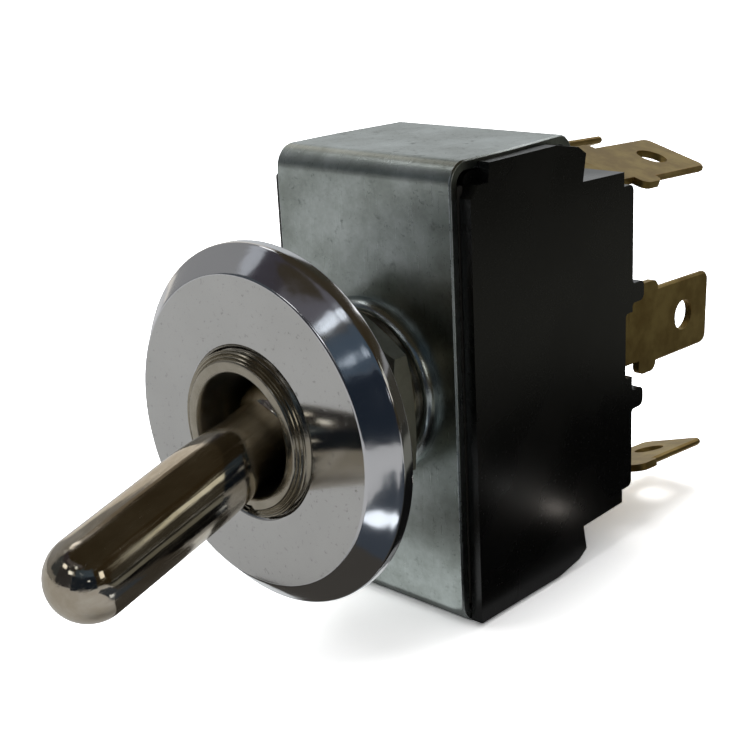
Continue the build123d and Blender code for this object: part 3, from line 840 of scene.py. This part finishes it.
# %% Lamps
def lamp(name, place, size, power, colour=(1.0, 1.0, 1.0)):
    """A soft rectangular lamp, in millimetres and watts, aimed at the switch."""
    data = bpy.data.lights.new(name, "AREA")
    data.shape = "RECTANGLE"
    data.size, data.size_y = (s * MM for s in size)
    data.energy = power
    data.color = colour
    made = bpy.data.objects.new(name, data)
    bpy.context.scene.collection.objects.link(made)
    made.location = place * MM
    made.rotation_euler = (-place).to_track_quat("-Z", "Y").to_euler()
    made.visible_glossy = False


lamp("top_softbox", Vector((-85, 50, 415)), (260, 210), 0.78)
lamp("left_softbox", Vector((-380, -160, 200)), (260, 260), 0.45, (0.97, 0.985, 1.0))

# %% [markdown]
# ### What the metal mirrors
#
# Polished metal is only as good as what it mirrors. The photograph was taken in a room that is dark
# behind the camera and overhead, with windows to the left and a few small lamps, and these show as
# bands on the bevel and the lever. Panels that only mirrors can see stand for that room. A place in it
# is given as a compass heading, 0 straight out of the panel and 90 to the right, and a height above
# the horizon, both in degrees.

# %% Panels that only mirrors see
def heading(azimuth, elevation, distance):
    """The point at a compass heading, a height and a distance."""
    a, e = radians(azimuth), radians(elevation)
    return Vector((sin(a) * cos(e), -cos(a) * cos(e), sin(e))) * distance


def panel(name, points, colour, faces=None):
    """A panel that glows in one colour and shows only in mirrors, flat unless faces are given."""
    data = bpy.data.meshes.new(name)
    data.from_pydata([p * MM for p in points], [], faces or [tuple(range(len(points)))])
    made = bpy.data.objects.new(name, data)
    bpy.context.scene.collection.objects.link(made)
    glow = Finish(
        name + "_glow",
        Base_Color=(0.0, 0.0, 0.0, 1.0),
        Roughness=1.0,
        Specular_IOR_Level=0.0,
        Emission_Color=(*colour, 1.0),
        Emission_Strength=1.0,
    )
    data.materials.append(glow.material)
    made.visible_camera = False
    made.visible_diffuse = False
    made.visible_shadow = False
    made.visible_transmission = False


def wall(name, azimuths, elevations, colour, distance):
    """A panel that spans two headings and two heights, curved round the switch in 6 by 6 faces."""
    (a0, a1), (e0, e1) = azimuths, elevations
    cuts = 6
    row = cuts + 1
    points = [
        heading(a0 + (a1 - a0) * i / cuts, e0 + (e1 - e0) * j / cuts, distance)
        for j in range(row)
        for i in range(row)
    ]
    firsts = [i + row * j for j in range(cuts) for i in range(cuts)]
    panel(name, points, colour, [(n, n + 1, n + row + 1, n + row) for n in firsts])


print("heading 90 at height 0 is", [round(v, 1) for v in heading(90, 0, 1)])

# %% [markdown]
# The walls of the room come first. The one behind the camera is near and almost black blue, the one to
# the right brown, and the windows to the left and the rear are bright. A dark ceiling hangs over it all.

# %% The room
far, near = 320, 170
dark_blue = (0.014, 0.020, 0.030)
dark_warm = (0.036, 0.026, 0.013)
room = [
    ("behind_camera", (10, 66), (-8, 22), dark_blue, near),
    ("above_camera", (18, 66), (22, 40), (0.06, 0.085, 0.115), far),
    ("high_front", (-28, 30), (44, 62), (0.13, 0.125, 0.14), far),
    ("front_left", (-30, 10), (-2, 44), (0.05, 0.05, 0.055), far),
    ("left_front", (-56, -30), (10, 40), (0.07, 0.08, 0.09), far),
    ("high_left_front", (-60, -28), (40, 66), (0.055, 0.05, 0.06), far),
    ("right_front", (66, 104), (-3, 40), dark_warm, far),
    ("right_side", (104, 170), (-2, 20), (0.05, 0.046, 0.036), far),
    ("right_stripe", (100, 122), (19, 32), (0.80, 0.79, 0.66), far),
    ("right_high", (96, 170), (36, 62), dark_warm, far),
    ("left_window", (-126, -104), (-3, 50), (0.80, 0.76, 0.70), far),
    ("left_high", (-140, -96), (50, 70), (0.24, 0.21, 0.17), far),
    ("rear_left", (-165, -126), (-2, 36), (0.62, 0.64, 0.65), far),
    ("rear_high", (-170, -128), (38, 64), (0.04, 0.036, 0.024), far),
]
for row in room:
    wall(*row)
ceiling_z = 250
ceiling = [(-150, -420), (420, -420), (420, 420), (-150, 420)]
panel("ceiling", [Vector((x, y, ceiling_z)) for x, y in ceiling], (0.045, 0.036, 0.022))
print("walls:", len(room))

# %% [markdown]
# The low parts of the bezel, the bracket and the base mirror the floor round the switch. Mats just over
# the floor give it the tones seen there: painted shadow where the switch shades it, a painted patch of
# light under the bushing, lighter further off, and a few small bright spots, which make the glints on
# the bevel and on the black side. Where mats overlap, the higher one shows.

# %% Mats on the floor
def oblong(x_span, y_span):
    """The corners of a rectangle that spans x_span and y_span."""
    (x0, x1), (y0, y1) = x_span, y_span
    return [(x0, y0), (x1, y0), (x1, y1), (x0, y1)]


# painted shadow: the outline of the dark patch under the lever and the bezel
painted_shadow_under_lever = [(-9, -14), (9, -16), (45, -8), (45, -5), (-9, -4)]
beside_bezel = [(12, -8), (12, -17), (20.5, -20), (31, -27), (38, -33), (60, -33), (60, -8)]
front = [heading(a, 0, d).xy for a, d in [(8, 125), (66, 125), (66, 400), (8, 400)]]
low, raised, high, highest = 0.3, 0.35, 0.4, 0.45  # over the floor
mats = [
    # painted shadow: the floor's shade under the lever and bezel, as mirrors see it
    ("painted_shadow_under_lever", painted_shadow_under_lever, (0.06, 0.055, 0.048), low),
    ("beside_bezel", beside_bezel, (0.05, 0.06, 0.075), raised),
    ("bevel_glint", oblong((16.8, 21), (-18.0, -14.0)), (1.5, 1.6, 1.7), highest),
    # painted light: a pale patch where the bushing and bezel shade the floor, seen in the bracket's
    # lower front
    ("painted_light_under_bushing", oblong((-14, 7), (-3.9, 4.6)), (0.68, 0.70, 0.70), low),
    ("glint_one", oblong((21.4, 22.7), (25.6, 27.2)), (5.0, 5.0, 4.8), high),
    ("glint_two", oblong((16.7, 18.3), (24.8, 26.5)), (6.0, 5.5, 5.0), high),
    # painted shadow: the switch's own shade on the floor beside the base, seen in the black side
    ("painted_shadow_near_base", oblong((11, 40), (-5, 60)), (0.006, 0.006, 0.006), low),
    ("middle_mat", oblong((40, 92), (-5, 320)), (0.175, 0.175, 0.15), low),
    ("far_mat", oblong((92, 330), (-5, 320)), (0.03, 0.03, 0.025), low),
    ("rear_mat", oblong((-9, 40), (60, 320)), (0.16, 0.16, 0.14), low),
    ("front_mat", front, dark_blue, low),
]
for name, corners, colour, lift in mats:
    panel(name, [Vector((x, y, floor_z + lift)) for x, y in corners], colour)
print("mats:", len(mats))

# %% [markdown]
# Last come the small lamps that only mirrors see. They hang just inside the walls and make the crisp
# highlights: on the bevel, on the lever's round tip, in the bracket's bend and on the thread.

# %% Highlights
inside_far, inside_near = 300, 165
highlights = [
    ("small_lamp", (11, 18), (41, 46), (1.3, 1.4, 1.5), inside_far),
    ("strip_lamp", (-2, 10), (26, 33), (2.0, 2.1, 2.2), inside_far),
    ("bend_lamp", (-69, -58), (40, 47), (0.5, 0.52, 0.55), inside_far),
    ("overhead_left", (-94, -68), (50, 61), (1.7, 1.7, 1.7), inside_far),
    ("overhead_rear", (164, 190), (30, 42), (1.7, 1.7, 1.7), inside_far),
    ("side_lamp", (80, 92), (14, 30), (1.6, 1.55, 1.4), inside_far),
    ("second_lamp", (29, 32), (27, 30), (0.8, 0.9, 1.0), inside_near),
    ("third_lamp", (-26, -12), (32, 39), (2.0, 2.0, 2.0), inside_far),
    ("fourth_lamp", (46, 51), (11, 14), (1.6, 1.65, 1.7), inside_near),
]
for row in highlights:
    wall(*row)
print("highlights:", len(highlights))

# %% [markdown]
# ## Camera
#
# The camera was fitted to the straight edges and circles of the photograph: about 10 centimetres from
# the switch, 44 degrees round from the front and 18 degrees up, rolled 3 degrees. Its three axes and
# its place are worked out from those angles.

# %% Camera
azimuth, elevation, roll = radians(44.092), radians(18.256), radians(-2.977)
distance, shift_level, shift_upright = 102.346, 0.471, 0.790
toward = Vector((sin(azimuth) * cos(elevation), -cos(azimuth) * cos(elevation), sin(elevation)))
level = (-toward).cross(Vector((0, 0, 1))).normalized()
upright = level.cross(-toward)
right = level * cos(roll) + upright * sin(roll)
up = upright * cos(roll) - level * sin(roll)
aim = Vector((0, plate_y, 0)) + level * shift_level + upright * shift_upright
stand = aim + toward * distance
lens = bpy.data.cameras.new("photo_camera")
lens.sensor_width = 36.0
lens.lens = 66.43
lens.clip_start = 5 * MM
lens.clip_end = 20.0
camera = bpy.data.objects.new("photo_camera", lens)
bpy.context.scene.collection.objects.link(camera)
turned = Matrix((right, up, toward)).transposed().to_4x4()
camera.matrix_world = Matrix.Translation(stand * MM) @ turned
bpy.context.scene.camera = camera
bpy.context.scene.view_settings.view_transform = "Standard"
print("camera at", [round(v, 1) for v in stand], "mm")
